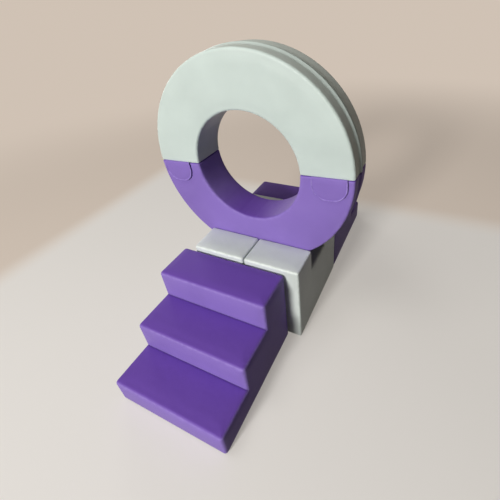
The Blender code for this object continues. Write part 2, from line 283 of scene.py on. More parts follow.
def length_property(name, description, default, low, high):
    return number_property(name, description, default, low, high, "LENGTH")


class ClimberColours(bpy.types.PropertyGroup):
    """Colours of the covers and of what closes them."""

    purple: colour_property("Purple", "Leather of the steps and the lower ring", (0.250, 0.162, 0.512))
    mint: colour_property("Mint", "Leather of the upper ring half", (0.600, 0.690, 0.645))
    pale_grey: colour_property("Pale grey", "Leather of the base blocks", (0.695, 0.756, 0.712))
    foam: colour_property("Foam", "Cores inside the covers", (0.78, 0.74, 0.62))
    sole: colour_property("Sole", "Non-slip panels under the modules", (0.055, 0.055, 0.060))
    tape: colour_property("Tape", "Hook and loop tape", (0.030, 0.030, 0.033))
    metal: colour_property("Metal", "Zip sliders", (0.30, 0.30, 0.31))


class ClimberPadding(bpy.types.PropertyGroup):
    """Sizes of the padded covers."""

    panel_step: length_property("Panel step", "Distance between grid lines of a cover", 0.0125, 0.005, 0.05)
    core_step: length_property("Core step", "Distance between grid lines of a foam core", 0.040, 0.01, 0.1)
    crown: length_property("Crown", "How far a panel may swell", 0.0035, 0, 0.01)
    wall: length_property("Wall", "Thickness of the leather", 0.0014, 0.0005, 0.0025)
    steps_edge: length_property("Steps edge", "Radius of the steps' edges", 0.016, 0.002, 0.04)
    block_edge: length_property("Block edge", "Radius of the base blocks' edges", 0.011, 0.002, 0.04)
    ring_edge: length_property("Ring edge", "Radius of the ring's edges", 0.012, 0.002, 0.014)
    seam_width: length_property("Seam width", "Width of the groove at a seam", 0.0024, 0, 0.01)
    seam_depth: length_property("Seam depth", "Depth of the groove at a seam", 0.0008, 0, 0.003)
    crease_depth: length_property(
        "Crease depth", "Depth of the fold between tread and riser", 0.0012, 0, 0.0015
    )
    lumps: length_property("Lumps", "Unevenness of the foam under the leather", 0.0007, 0, 0.003)
    pressure: number_property("Pressure", "Filling pressure while the seams are held", 4, 0, 20)


class ClimberThread(bpy.types.PropertyGroup):
    """Sizes of the stitches, the zip teeth and the piping."""

    stitch_length: length_property("Stitch length", "Length of one stitch", 0.0036, 0.001, 0.01)
    stitch_pitch: length_property("Stitch pitch", "From one stitch to the next", 0.0046, 0.001, 0.02)
    thread: length_property("Thread", "Thickness of the thread", 0.0009, 0.0002, 0.003)
    seam_offset: length_property("Seam offset", "From a seam to its row of stitches", 0.0065, 0.001, 0.02)
    tooth_pitch: length_property(
        "Tooth pitch", "From one zip tooth to the next on its side", 0.0034, 0.001, 0.01
    )
    tooth_length: length_property("Tooth length", "Size of a zip tooth across the zip", 0.0036, 0.001, 0.01)
    tooth_height: length_property("Tooth height", "Thickness of a zip tooth", 0.0018, 0.0005, 0.003)
    piping: length_property("Piping", "Radius of the piping round the flaps", 0.0034, 0.001, 0.004)


class ClimberStudio(bpy.types.PropertyGroup):
    """Floor, backdrop and light of the studio."""

    floor: colour_property("Floor", "Colour of the floor by the climber", (0.84, 0.82, 0.79))
    backdrop: colour_property("Backdrop", "Colour of the far floor and the wall", (0.63, 0.54, 0.46))
    bounce: number_property("Bounce", "Share of the floor's colour that lights the climber", 0.12, 0, 1)
    glow: number_property("Glow", "Share of even paleness in the floor by the climber", 0.34, 0, 1)
    key_power: number_property("Key", "Power of the main lamp", 850, 0, 3000, "POWER")
    key_size: length_property("Key size", "Side of the main lamp", 1.6, 0.1, 5)
    top_share: number_property("Top", "Power of the upper lamp as a share of the main one", 0.060, 0, 1)
    rear_share: number_property("Rear", "Power of the rear lamp as a share of the main one", 0.16, 0, 1)
    sky: number_property("Sky", "Strength of the even light from all round", 0.042, 0, 2)


def smooth_mask(distance, reach):
    """1 at distance 0, falling smoothly to 0 at reach."""
    share = np.clip(1 - distance / reach, 0, 1)
    return share * share * (3 - 2 * share)


def rising(values, start, run):
    """0 up to start, then rising evenly to 1 over a run."""
    return np.clip((values - start) / run, 0, 1)


def moved_by(matrix, points):
    """Points, turned and shifted by a matrix."""
    return points @ np.array(matrix.to_3x3()).T + np.array(matrix.translation)


def inset(outline, distance):
    """An anticlockwise outline with each side moved inwards, parallel to itself."""
    moved = []
    for index, here in enumerate(outline):
        first = here - outline[index - 1]
        second = outline[(index + 1) % len(outline)] - here
        first = first / np.linalg.norm(first)
        second = second / np.linalg.norm(second)
        inwards = np.array([-first[1] - second[1], first[0] + second[0]])
        moved.append(here + inwards * distance / (1 + first @ second))
    return np.array(moved)


def within(points, outline):
    """Which points of a plane lie inside an outline."""
    inside = np.zeros(len(points), bool)
    for start, end in zip(outline, np.roll(outline, -1, axis=0)):
        crossing = (start[1] > points[:, 1]) != (end[1] > points[:, 1])
        rise = end[1] - start[1]
        if rise:
            side = start[0] + (points[:, 1] - start[1]) * (end[0] - start[0]) / rise
            inside ^= crossing & (points[:, 0] < side)
    return inside


def nearest_on_side(points, start, end):
    """The spot on one side of an outline that is nearest to each point."""
    side = end - start
    share = np.clip((points - start) @ side / (side @ side), 0, 1)
    return start + share[:, None] * side


def from_outline(points, outline):
    """For each point, how far and in which direction it lies from the sides of an outline.

    At a fold, where two sides are equally near, both directions are added."""
    reach = np.full(len(points), np.inf)
    for start, end in zip(outline, np.roll(outline, -1, axis=0)):
        reach = np.minimum(reach, np.linalg.norm(points - nearest_on_side(points, start, end), axis=1))
    away = np.zeros_like(points)
    for start, end in zip(outline, np.roll(outline, -1, axis=0)):
        step = points - nearest_on_side(points, start, end)
        tied = np.linalg.norm(step, axis=1) < reach + TIE
        fresh = np.linalg.norm(step - away, axis=1) > TOUCH
        away[tied & fresh] += step[tied & fresh]
    return reach, away


def corners_and_folds(outline):
    """The outline's outer corners, and its inner ones."""
    bent, folded = [], []
    for index, here in enumerate(outline):
        first = here - outline[index - 1]
        second = outline[(index + 1) % len(outline)] - here
        turn = first[0] * second[1] - first[1] * second[0]
        (bent if turn > 0 else folded).append(here)
    return np.array(bent).reshape(-1, 2), np.array(folded).reshape(-1, 2)


def distance_to(points, spots):
    """Distance from each point to the nearest of some spots."""
    if not len(spots):
        return np.full(len(points), np.inf)
    return np.linalg.norm(points[:, None] - spots[None], axis=2).min(axis=1)


def opening_distance(points, openings):
    """Distance from each point to the nearest opening."""
    nearest = np.full(len(points), np.inf)
    for low, high in openings:
        beyond = np.maximum(np.maximum(np.array(low) - points, points - np.array(high)), 0)
        nearest = np.minimum(nearest, np.linalg.norm(beyond, axis=1))
    return nearest


def round_edges(points, outline, ends, radius):
    """Points of a sharp-edged form, moved onto the same form with rounded edges."""
    core = inset(outline, radius)
    reach, away = from_outline(points[:, :2], core)
    inside = within(points[:, :2], core)
    reach[inside] = 0
    away[inside] = 0
    lift = points[:, 2] - np.clip(points[:, 2], ends[0] + radius, ends[1] - radius)
    share = np.minimum(radius / np.maximum(np.hypot(reach, lift), radius), 1)
    return points + (share - 1)[:, None] * np.column_stack([away, lift])


def round_corners(points, centre, reach, margin):
    """Points outside a corner's centre, moved so that square lines about it become round ones."""
    away = points - centre
    square = np.abs(away).max(axis=-1)
    length = np.maximum(np.linalg.norm(away, axis=-1), LEAST)
    share = np.clip((reach + margin - square) / margin, 0, 1)
    scale = 1 + share * (square / length - 1)
    return centre + away * scale[:, None]


def grid_lines(edges, marks, step, radius, groove):
    """Grid lines across a form: at its edges and marks, beside rounded edges, and every step between."""
    beside = [0, groove] + [radius * (1 - math.tan(math.radians(turn))) for turn in ROUNDING_TURNS]
    fixed = set(marks)
    for edge in edges:
        fixed.update(edge + side * offset for offset in beside for side in (-1, 1))
    low, high = min(edges), max(edges)
    fixed = sorted(value for value in fixed if low <= value <= high)
    lines = [fixed[0]]
    for value in fixed[1:]:
        gap = value - lines[-1]
        if gap < SLIGHT:
            continue
        count = max(1, round(gap / step))
        lines += [lines[-1] + gap * turn / count for turn in range(1, count + 1)]
    return np.array(lines)


class Form:
    """A padded form: an outline in a plane, stretched between two ends, then set in place."""

    def __init__(self, outline, ends, radius, place, marks=((), (), ()), openings=()):
        self.outline = np.array(outline, float)
        self.ends = ends
        self.radius = radius
        self.place = place
        self.marks = marks
        self.openings = openings

    def skin(self, step, groove):
        """Sharp-edged points and quads of the skin, without its openings."""
        edges = (sorted(set(self.outline[:, 0])), sorted(set(self.outline[:, 1])), self.ends)
        first, second, third = (
            grid_lines(across, marks, step, self.radius, groove) for across, marks in zip(edges, self.marks)
        )
        across = (first[:-1] + first[1:]) / 2
        up = (second[:-1] + second[1:]) / 2
        cells = np.array([[a, b] for a in across for b in up])
        filled = within(cells, self.outline).reshape(len(across), len(up))
        filled = np.pad(filled, 1)
        last = len(third) - 1
        order, points, quads = {}, [], []

        def corner(i, j, k):
            if (i, j, k) not in order:
                order[i, j, k] = len(points)
                points.append((first[i], second[j], third[k]))
            return order[i, j, k]

        for i in range(len(across)):
            for j in range(len(up)):
                if not filled[i + 1, j + 1]:
                    continue
                around = ((i, j), (i + 1, j), (i + 1, j + 1), (i, j + 1))
                quads.append([corner(*spot, 0) for spot in around[::-1]])
                quads.append([corner(*spot, last) for spot in around])
                beyond = ((i + 1, j), (i + 2, j + 1), (i + 1, j + 2), (i, j + 1))
                for side in range(4):
                    if filled[beyond[side]]:
                        continue
                    here, there = around[side], around[(side + 1) % 4]
                    for k in range(last):
                        around_quad = ((*here, k), (*there, k), (*there, k + 1), (*here, k + 1))
                        quads.append([corner(*spot) for spot in around_quad])
        points = np.array(points)
        quads = np.array(quads)
        centres = points[quads].mean(axis=1)
        kept = np.ones(len(quads), bool)
        for low, high in self.openings:
            kept &= ~np.all((centres > low) & (centres < high), axis=1)
        quads = quads[kept]
        used, quads = np.unique(quads, return_inverse=True)
        return points[used], quads.reshape(-1, 4)

    def shaped(self, points):
        """Points of the sharp-edged form, rounded and set in place."""
        return self.place(round_edges(points, self.outline, self.ends, self.radius))


def link_object(name, data):
    made = bpy.data.objects.new(name, data)
    bpy.context.scene.collection.objects.link(made)
    return made


def face_outwards(mesh):
    """Turns the faces of a skin outwards, also where it has openings."""
    shaped = bmesh.new()
    shaped.from_mesh(mesh)
    bmesh.ops.recalc_face_normals(shaped, faces=shaped.faces)
    centre = sum((face.calc_center_median() for face in shaped.faces), Vector()) / len(shaped.faces)
    volume = sum(
        (face.calc_center_median() - centre).dot(face.normal) * face.calc_area() for face in shaped.faces
    )
    if volume < 0:
        bmesh.ops.reverse_faces(shaped, faces=shaped.faces)
    shaped.to_mesh(mesh)
    shaped.free()


def smooth_faces(mesh):
    """Smooth faces, with sharp edges where they meet steeply."""
    mesh.shade_smooth()
    mesh.set_sharp_from_angle(angle=SHARP_ANGLE)


def make_piece(name, points, faces, finish):
    """A mesh piece with smooth faces that point outwards."""
    mesh = bpy.data.meshes.new(name)
    mesh.from_pydata([tuple(point) for point in points], [], [tuple(face) for face in faces])
    made = link_object(name, mesh)
    face_outwards(mesh)
    mesh.materials.append(finish)
    smooth_faces(mesh)
    return made


def coordinates(mesh):
    """The place of each point."""
    flat = np.empty(len(mesh.vertices) * 3)
    mesh.vertices.foreach_get("co", flat)
    return flat.reshape(-1, 3)


def directions(mesh):
    """The outward direction at each point."""
    flat = np.empty(len(mesh.vertices) * 3)
    mesh.vertex_normals.foreach_get("vector", flat)
    return flat.reshape(-1, 3)


def set_coordinates(mesh, points):
    mesh.vertices.foreach_set("co", np.ascontiguousarray(points, float).ravel())
    mesh.update()


def set_mask(mesh, name, values):
    """Stores a number at each point, for the finish to read."""
    mask = mesh.attributes.new(name, "FLOAT", "POINT")
    mask.data.foreach_set("value", np.ascontiguousarray(values, float))


def applied(made):
    """The piece with its modifiers made part of its mesh."""
    shaped = bpy.data.meshes.new_from_object(made.evaluated_get(bpy.context.evaluated_depsgraph_get()))
    made.modifiers.clear()
    old = made.data
    made.data = shaped
    shaped.name = made.name
    bpy.data.meshes.remove(old)
    return made


def surface_of(mesh):
    """A mesh as a surface, on which nearest spots are found."""
    return BVHTree.FromPolygons(
        [Vector(point) for point in coordinates(mesh)], [tuple(face.vertices) for face in mesh.polygons]
    )


def laid_on(surface, points):
    """The spots of a surface that are nearest to some points, and the ways out there."""
    found = [surface.find_nearest(Vector(point)) for point in points]
    return [spot for spot, *_ in found], [way for _, way, *_ in found]


def fill(made, held, pressure):
    """How each point moves when the skin is filled while its held points stay."""
    group = made.vertex_groups.new(name="held")
    group.add([int(index) for index in np.flatnonzero(held)], 1.0, "REPLACE")
    filling = made.modifiers.new("filling", "CLOTH")
    for name, value in FILLING.items():
        setattr(filling.settings, name, value)
    filling.settings.uniform_pressure_force = pressure
    filling.settings.vertex_group_mass = group.name
    filling.settings.effector_weights.gravity = 0
    filling.collision_settings.use_collision = False
    filling.point_cache.frame_start = 1
    filling.point_cache.frame_end = FILL_FRAMES
    scene = bpy.context.scene
    for step in range(1, FILL_FRAMES + 1):
        scene.frame_set(step)
    filled = made.evaluated_get(bpy.context.evaluated_depsgraph_get()).to_mesh()
    moved = coordinates(filled) - coordinates(made.data)
    made.modifiers.clear()
    made.vertex_groups.clear()
    scene.frame_set(1)
    return moved


def lumps(points, seed):
    """Slow unevenness from -1 to 1."""
    shift = Vector([seed * part for part in LUMP_SHIFT])
    return np.array([noise.noise(Vector(point) / LUMP_SIZE + shift) for point in points])


class Cover:
    """A leather cover: its form, filled, creased at its seams and given its wall."""

    def __init__(self, name, form, finish, swell, seed):
        padding = bpy.context.scene.climber_padding
        sharp, quads = form.skin(padding.panel_step, padding.seam_width / 2)
        shaped = form.shaped(sharp)
        self.form = form
        self.made = make_piece(name, shaped, quads, finish)
        mesh = self.made.data
        outwards = directions(mesh)

        to_end = np.minimum(sharp[:, 2] - form.ends[0], form.ends[1] - sharp[:, 2])
        to_outline = from_outline(sharp[:, :2], form.outline)[0]
        to_seam = to_end + to_outline
        on_wrap = to_outline < TOUCH
        bent, folded = corners_and_folds(form.outline)
        to_bend = np.where(on_wrap, distance_to(sharp[:, :2], bent), np.inf)
        to_fold = np.where(on_wrap, distance_to(sharp[:, :2], folded), np.inf)
        to_held = np.minimum.reduce([to_seam, to_bend, to_fold, opening_distance(sharp, form.openings)])

        reach = swell(shaped, outwards) * padding.crown
        moved = np.zeros_like(shaped)
        moved = fill(self.made, (to_held < TOUCH) | (reach < SLIGHT), padding.pressure)
        rise = (moved * outwards).sum(axis=1)
        limit = np.maximum(reach, TOUCH)
        rise = limit * np.tanh(np.maximum(rise, 0) / limit)
        calm = 1 - smooth_mask(to_held, CALM_REACH)
        rise += lumps(shaped, seed) * padding.lumps * calm * np.clip(reach / padding.crown, 0, 1)
        rise -= (to_seam < TOUCH) * padding.seam_depth
        rise -= (to_fold < TOUCH) * padding.crease_depth
        set_coordinates(mesh, shaped + outwards * rise[:, None])

        set_mask(mesh, "seam", smooth_mask(to_seam, SEAM_REACH))
        # Near seams and rounded edges, for paler edges: partly wear, partly a painted highlight
        set_mask(mesh, "edge", smooth_mask(np.minimum(to_seam, to_bend), EDGE_REACH * form.radius))
        # Near inner folds, for darkening: partly dust, partly painted shade
        set_mask(mesh, "fold", smooth_mask(to_fold, FOLD_REACH))
        # How far each point faces upwards, for the painted shade on treads
        set_mask(mesh, "tread", rising(outwards[:, 2], *TREAD_SHADE))
        self.surface = surface_of(mesh)
        wall = self.made.modifiers.new("wall", "SOLIDIFY")
        wall.thickness = padding.wall
        wall.offset = -1
        wall.use_even_offset = True
        smooth_faces(applied(self.made).data)


def carry(made, body):
    """Sets a piece on its body."""
    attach(made, body)


def carry_padded(made, body, node):
    """Sets a padded piece on its body, in the place of a solid."""
    carry(made, body)
    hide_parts(node)


def feed(tree, socket, value):
    """Links a socket to another one, or sets its value."""
    source = getattr(value, "socket", value)
    if isinstance(source, bpy.types.NodeSocket):
        tree.links.new(source, socket)
    else:
        socket.default_value = source


def add_node(tree, kind, settings=None, inputs=None):
    """A node with its settings, and then its sockets' values and links."""
    node = tree.nodes.new(kind)
    for name, value in (settings or {}).items():
        setattr(node, name, value)
    for key, value in (inputs or {}).items():
        feed(tree, node.inputs[key], value)
    return node


class Value:
    """A number in a material, so that sums on it add Math nodes."""

    def __init__(self, finish, socket):
        self.finish = finish
        self.socket = socket

    def math(self, operation, *others):
        node = self.finish.node("ShaderNodeMath", {"operation": operation}, dict(enumerate(others)))
        return Value(self.finish, node.outputs[0])

    def __add__(self, other):
        return self.math("ADD", self, other)

    def __sub__(self, other):
        return self.math("SUBTRACT", self, other)

    def __rsub__(self, other):
        return self.math("SUBTRACT", other, self)

    def __mul__(self, other):
        return self.math("MULTIPLY", self, other)

    __radd__ = __add__
    __rmul__ = __mul__

    def least(self, other):
        return self.math("MINIMUM", self, other)

    def most(self, other):
        return self.math("MAXIMUM", self, other)

    def fraction(self):
        return self.math("FRACT", self)

    def ease(self, low, high):
        """0 below low, 1 above high, and smooth between."""
        inputs = {"Value": self, "From Min": low, "From Max": high}
        node = self.finish.node("ShaderNodeMapRange", {"interpolation_type": "SMOOTHSTEP"}, inputs)
        return Value(self.finish, node.outputs["Result"])


class Finish:
    """A material, built from its nodes."""

    def __init__(self, name):
        self.material = bpy.data.materials.new(name)
        self.material.use_nodes = True
        self.tree = self.material.node_tree
        self.surface = self.tree.nodes["Principled BSDF"]
        self.place = self.node("ShaderNodeTexCoord").outputs["Object"]

    @classmethod
    def of_world(cls, world):
        """The same, for the nodes of a world."""
        made = cls.__new__(cls)
        made.tree = world.node_tree
        return made

    def node(self, kind, settings=None, inputs=None):
        return add_node(self.tree, kind, settings, inputs)

    def mask(self, name):
        """A mask that is stored on the piece."""
        node = self.node("ShaderNodeAttribute", {"attribute_type": "GEOMETRY", "attribute_name": name})
        return Value(self, node.outputs["Fac"])

    def noise(self, scale, detail):
        inputs = {"Vector": self.place, "Scale": scale, "Detail": detail}
        return Value(self, self.node("ShaderNodeTexNoise", {}, inputs).outputs["Fac"])

    def cells(self, scale, feature, place=None):
        """Distance from the middle or the border of irregular cells."""
        inputs = {"Vector": place or self.place, "Scale": scale}
        node = self.node("ShaderNodeTexVoronoi", {"feature": feature}, inputs)
        return Value(self, node.outputs["Distance"])

    def stirred(self, scale, amount):
        """The place, shifted a little by noise."""
        drift = self.node("ShaderNodeTexNoise", {}, {"Vector": self.place, "Scale": scale}).outputs["Color"]
        inputs = {0: drift, 1: (amount,) * 3, 2: self.place}
        return self.node("ShaderNodeVectorMath", {"operation": "MULTIPLY_ADD"}, inputs).outputs[0]

    def mix(self, share, first, second):
        """One colour shading into another."""
        node = self.node("ShaderNodeMix", {"data_type": "RGBA"}, {0: share, 6: first, 7: second})
        return node.outputs[2]

    def bump(self, height, depth, normal=None):
        inputs = {"Height": height, "Distance": depth, "Strength": 1.0}
        if normal is not None:
            inputs["Normal"] = normal
        return self.node("ShaderNodeBump", {}, inputs).outputs["Normal"]

    def axes(self):
        """The place's X, Y and Z as numbers."""
        split = self.node("ShaderNodeSeparateXYZ", {}, {0: self.place})
        return [Value(self, output) for output in split.outputs]

    def done(self, colour, roughness, normal, **constants):
        """The finished material."""
        inputs = {"Base Color": colour, "Roughness": roughness, "Normal": normal} | constants
        for name, value in inputs.items():
            feed(self.tree, self.surface.inputs[name], value)
        return self.material


def shade(colour, factor, pull=0.0):
    """A colour made darker or lighter, and pulled towards its own grey."""
    grey = sum(colour) / 3
    return tuple(min(1.0, (part * (1 - pull) + grey * pull) * factor) for part in colour) + (1.0,)


def leather(name, colour, roughness, gloss, tread_shade, wear_and_highlight_share):
    """Coated leather: grain, puckered seams, edges paler by wear and painted highlight, folds darker by dust
    and painted shade, treads darker by painted shade.
    """
    finish = Finish(name)
    seam, edge, fold = finish.mask("seam"), finish.mask("edge"), finish.mask("fold")
    drift = finish.noise(*DRIFT)
    cloud = finish.noise(*CLOUD)
    tone = finish.mix(drift.ease(0.32, 0.68), shade(colour, 0.95), shade(colour, 1.04))
    tone = finish.mix(cloud.ease(0.45, 0.75) * 0.22, tone, shade(colour, 1.10, 0.10))
    # Edges paled partly by wear, partly by a painted highlight
    edge_wear_and_highlight = edge * finish.noise(*RUB).ease(0.35, 0.65)
    tone = finish.mix(edge_wear_and_highlight * wear_and_highlight_share, tone, shade(colour, 1.35, 0.18))
    # Folds darkened partly by dust, partly by painted shade
    tone = finish.mix(fold * 0.65, tone, shade(colour, 0.45))
    # Upward faces darker and deeper in colour: painted shade on treads
    if tread_shade:
        tone = finish.mix(finish.mask("tread") * tread_shade, tone, shade(colour, 0.72, -0.40))
    pebbles = finish.cells(PEBBLES, "DISTANCE_TO_EDGE", finish.stirred(*PEBBLE_STIR)).ease(0.0, 0.35)
    grain = finish.bump(pebbles * 0.8 + finish.noise(*PORES) * 0.2, GRAIN_DEPTH)
    pucker = finish.noise(*PUCKER) * seam
    soft = finish.bump(pucker * 0.6 + finish.noise(*RIPPLE) * 0.8, PUCKER_DEPTH, grain)
    rough = roughness + (drift - 0.5) * 0.10 - pebbles * 0.04 + fold * 0.2
    return finish.done(tone, rough, soft, IOR=gloss)


def foam_finish(name, colour):
    """Open-cell foam."""
    finish = Finish(name)
    cells = finish.cells(FOAM_CELLS, "F1")
    tone = finish.mix(cells.ease(0.1, 0.7), shade(colour, 1.05), shade(colour, 0.72))
    normal = finish.bump(1 - cells, FOAM_DEPTH)
    return finish.done(tone, 0.92 + (finish.noise(*FOAM_DRIFT) - 0.5) * 0.1, normal)


def sole_finish(name, colour):
    """Non-slip fabric with raised dots."""
    finish = Finish(name)
    x, y, _ = finish.axes()
    across = (x * SOLE_DOTS).fraction() - 0.5
    along = (y * SOLE_DOTS).fraction() - 0.5
    dot = 1 - (across * across + along * along).ease(0.05, 0.09)
    tone = finish.mix(dot, shade(colour, 1.6, 0.2), shade(colour, 0.7))
    normal = finish.bump(dot + finish.noise(*SOLE_WEAVE) * 0.25, SOLE_DEPTH)
    return finish.done(tone, 0.85 - dot * 0.3, normal)


def tape_finish(name, colour):
    """Hook and loop tape."""
    finish = Finish(name)
    fuzz = finish.cells(TAPE_FUZZ, "F1", finish.stirred(*FUZZ_STIR))
    tone = finish.mix(fuzz.ease(0.1, 0.8), shade(colour, 1.7), shade(colour, 0.5))
    normal = finish.bump(1 - fuzz, TAPE_DEPTH)
    return finish.done(tone, 0.82 + fuzz * 0.15, normal)


def metal_finish(name, colour):
    """Enamelled metal with a light wear."""
    finish = Finish(name)
    wear = finish.noise(*METAL_WEAR).ease(0.45, 0.75)
    tone = finish.mix(wear, shade(colour, 0.9), shade(colour, 1.7))
    normal = finish.bump(finish.noise(*METAL_GRAIN), METAL_DEPTH)
    return finish.done(tone, 0.38 - wear * 0.1, normal, Metallic=0.7)


# For each slot, how its finish is made, the finish's name and its colour. For leather also its roughness,
# refraction index, share of painted shade on treads, and share of edge paled by wear and painted highlight
RECIPES = {
    "purple": (leather, "purple_leather", "purple", 0.54, 1.25, 1.0, 0.40),
    "mint": (leather, "mint_leather", "mint", 0.40, 1.45, 0.0, 0.10),
    "pale_grey": (leather, "pale_grey_leather", "pale_grey", 0.44, 1.60, 0.0, 0.40),
    "foam": (foam_finish, "cream_foam", "foam"),
    "non_slip": (sole_finish, "dotted_sole", "sole"),
    "fastener": (tape_finish, "hook_and_loop_tape", "tape"),
    "slider": (metal_finish, "enamelled_metal", "metal"),
}
FINISHES = {}


def finish_for(slot):
    """The finish of a material slot, made once."""
    if slot not in FINISHES:
        make, name, colour, *values = RECIPES[slot]
        FINISHES[slot] = make(name, tuple(getattr(bpy.context.scene.climber_colours, colour)), *values)
    return FINISHES[slot]


def row_tree(name, shape, sizes):
    """The tree that lays one small shape at each step along a path, level with the surface there."""
    if name in bpy.data.node_groups:
        return bpy.data.node_groups[name]
    tree = bpy.data.node_groups.new(name, "GeometryNodeTree")
    sockets = {"Path": "Geometry"} | dict.fromkeys(ROW_SIZES, "Float") | {"Finish": "Material"}
    for word, kind in sockets.items():
        tree.interface.new_socket(word, in_out="INPUT", socket_type="NodeSocket" + kind)
    tree.interface.new_socket("Row", in_out="OUTPUT", socket_type="NodeSocketGeometry")

    def first(kind, settings=None, **inputs):
        return add_node(tree, kind, settings, inputs).outputs[0]

    given = add_node(tree, "NodeGroupInput").outputs
    curve = first("GeometryNodeMeshToCurve", Mesh=given["Path"])
    spaced = first("GeometryNodeResampleCurve", {"mode": "LENGTH"}, Curve=curve, Length=given["Pitch"])
    size = first("ShaderNodeCombineXYZ", X=given["Length"], Y=given["Width"], Z=given["Height"])
    scaled = first("GeometryNodeTransform", Geometry=first(shape, **sizes), Scale=size)
    along = first("GeometryNodeInputTangent")
    turned = first("FunctionNodeAlignRotationToVector", {"axis": "X"}, Vector=along)
    out = first("GeometryNodeInputNamedAttribute", {"data_type": "FLOAT_VECTOR"}, Name="outwards")
    turning = {"axis": "Z", "pivot_axis": "X"}
    level = first("FunctionNodeAlignRotationToVector", turning, Rotation=turned, Vector=out)
    laid = first("GeometryNodeInstanceOnPoints", Points=spaced, Instance=scaled, Rotation=level)
    real = first("GeometryNodeRealizeInstances", Geometry=laid)
    dressed = first("GeometryNodeSetMaterial", Geometry=real, Material=given["Finish"])
    add_node(tree, "NodeGroupOutput", {}, {0: dressed})
    return tree


def run_tree(made, tree, values):
    """Runs a tree on a piece with its inputs set, and keeps the result as the piece's mesh."""
    row = made.modifiers.new(tree.name, "NODES")
    row.node_group = tree
    for item in tree.interface.items_tree:
        if item.item_type == "SOCKET" and item.in_out == "INPUT" and item.name in values:
            row[item.identifier] = values[item.name]
    made.update_tag()
    applied(made).data.shade_smooth()


def lay_row(name, body, slot, runs, tree, sizes):
    """Small like shapes along some runs; each run is its points and the ways out of the surface."""
    points, ways, links = [], [], []
    for spots, outwards in runs:
        start = len(points)
        points += [tuple(spot) for spot in spots]
        ways += [tuple(way) for way in outwards]
        links += [(start + index, start + index + 1) for index in range(len(spots) - 1)]
    mesh = bpy.data.meshes.new(name)
    mesh.from_pydata(points, links, [])
    upright = mesh.attributes.new("outwards", "FLOAT_VECTOR", "POINT")
    upright.data.foreach_set("vector", np.array(ways, float).ravel())
    made = link_object(name, mesh)
    run_tree(made, tree, dict(zip(ROW_SIZES, sizes), Finish=finish_for(slot)))
    carry(made, body)


def stitches(name, body, slot, runs):
    """Rows of stitches along some runs."""
    thread = bpy.context.scene.climber_thread
    sizes = (thread.stitch_pitch, thread.stitch_length, thread.thread, thread.thread)
    tree = row_tree("stitch_row", "GeometryNodeMeshIcoSphere", {"Radius": 0.5})
    lay_row(name, body, slot, runs, tree, sizes)


def seam_runs(cover, shown):
    """Runs of points on a cover beside its seams, where they are shown."""
    form = cover.form
    offset = bpy.context.scene.climber_thread.seam_offset
    flat = []
    for start, stop in zip(form.outline, np.roll(form.outline, -1, axis=0)):
        count = max(1, int(np.linalg.norm(stop - start) / SEAM_RUN_STEP))
        flat += [start + (stop - start) * step / count for step in range(count)]
    flat.append(flat[0])
    runs = []
    for end in (form.ends[0] + offset, form.ends[1] - offset):
        points = np.column_stack([np.array(flat), np.full(len(flat), end)])
        run = []
        for spot, outwards in zip(*laid_on(cover.surface, form.shaped(points))):
            if shown(spot, outwards):
                run.append((spot, outwards))
            else:
                runs.append(run)
                run = []
        runs.append(run)
    return [tuple(zip(*run)) for run in runs if len(run) >= SHORTEST_RUN]


class Track:
    """A line along a surface: its points, the ways out of the surface, and the ways across the line."""

    def __init__(self, points, outwards, across):
        self.points = np.array(points, float)
        self.outwards = np.array(outwards, float)
        self.across = np.array(across, float)

    def beside(self, across, out):
        """The same line, moved across and outwards."""
        return self.points + self.across * across + self.outwards * out

    def swept(self, outline, lift=1.0, size=1.0):
        """Points and faces of a strip with one outline all along.

        Lift scales what stands out of the surface, and size the whole outline."""
        rows = [
            self.beside(across * size, out * size * (lift if out > 0 else 1.0)) for across, out in outline
        ]
        points = np.stack(rows, axis=1)
        stations, corners = points.shape[:2]
        spot = np.arange(stations * corners).reshape(stations, corners)
        beyond = np.roll(spot, -1, axis=1)
        quads = np.stack([spot[:-1], beyond[:-1], beyond[1:], spot[1:]], axis=-1).reshape(-1, 4).tolist()
        return points.reshape(-1, 3), quads + [spot[0][::-1].tolist(), spot[-1].tolist()]


def joined(*parts):
    """Several sets of points and faces as one."""
    points, faces = [], []
    for more_points, more_faces in parts:
        faces += [[index + sum(map(len, points)) for index in face] for face in more_faces]
        points.append(more_points)
    return np.concatenate(points), faces


def rim_track(side, margin):
    """The middle line of the rim of one ring half."""
    first = margin / RING_OUTER
    angles = side * np.linspace(first, math.pi - first, RIM_STATIONS)
    turn = np.array(RING_PLACE.to_3x3())
    outwards = np.column_stack([np.cos(angles), np.zeros_like(angles), np.sin(angles)]) @ turn.T
    across = np.tile(turn @ (0, 1, 0), (len(angles), 1))
    return Track(outwards * RING_OUTER + np.array(RING_PLACE.translation), outwards, across)


def module_track(low, high, zip_face, zip_height):
    """The middle line of a module's zip."""
    first = low.x + ZIP_SIDE_MARGIN + TAPE_CLEARANCE
    last = high.x - ZIP_SIDE_MARGIN - TAPE_CLEARANCE
    points = [(x, zip_face, zip_height) for x in np.linspace(first, last, TAPE_STATIONS)]
    return Track(points, [(0, math.copysign(1, zip_face), 0)] * len(points), [(0, 0, 1)] * len(points))


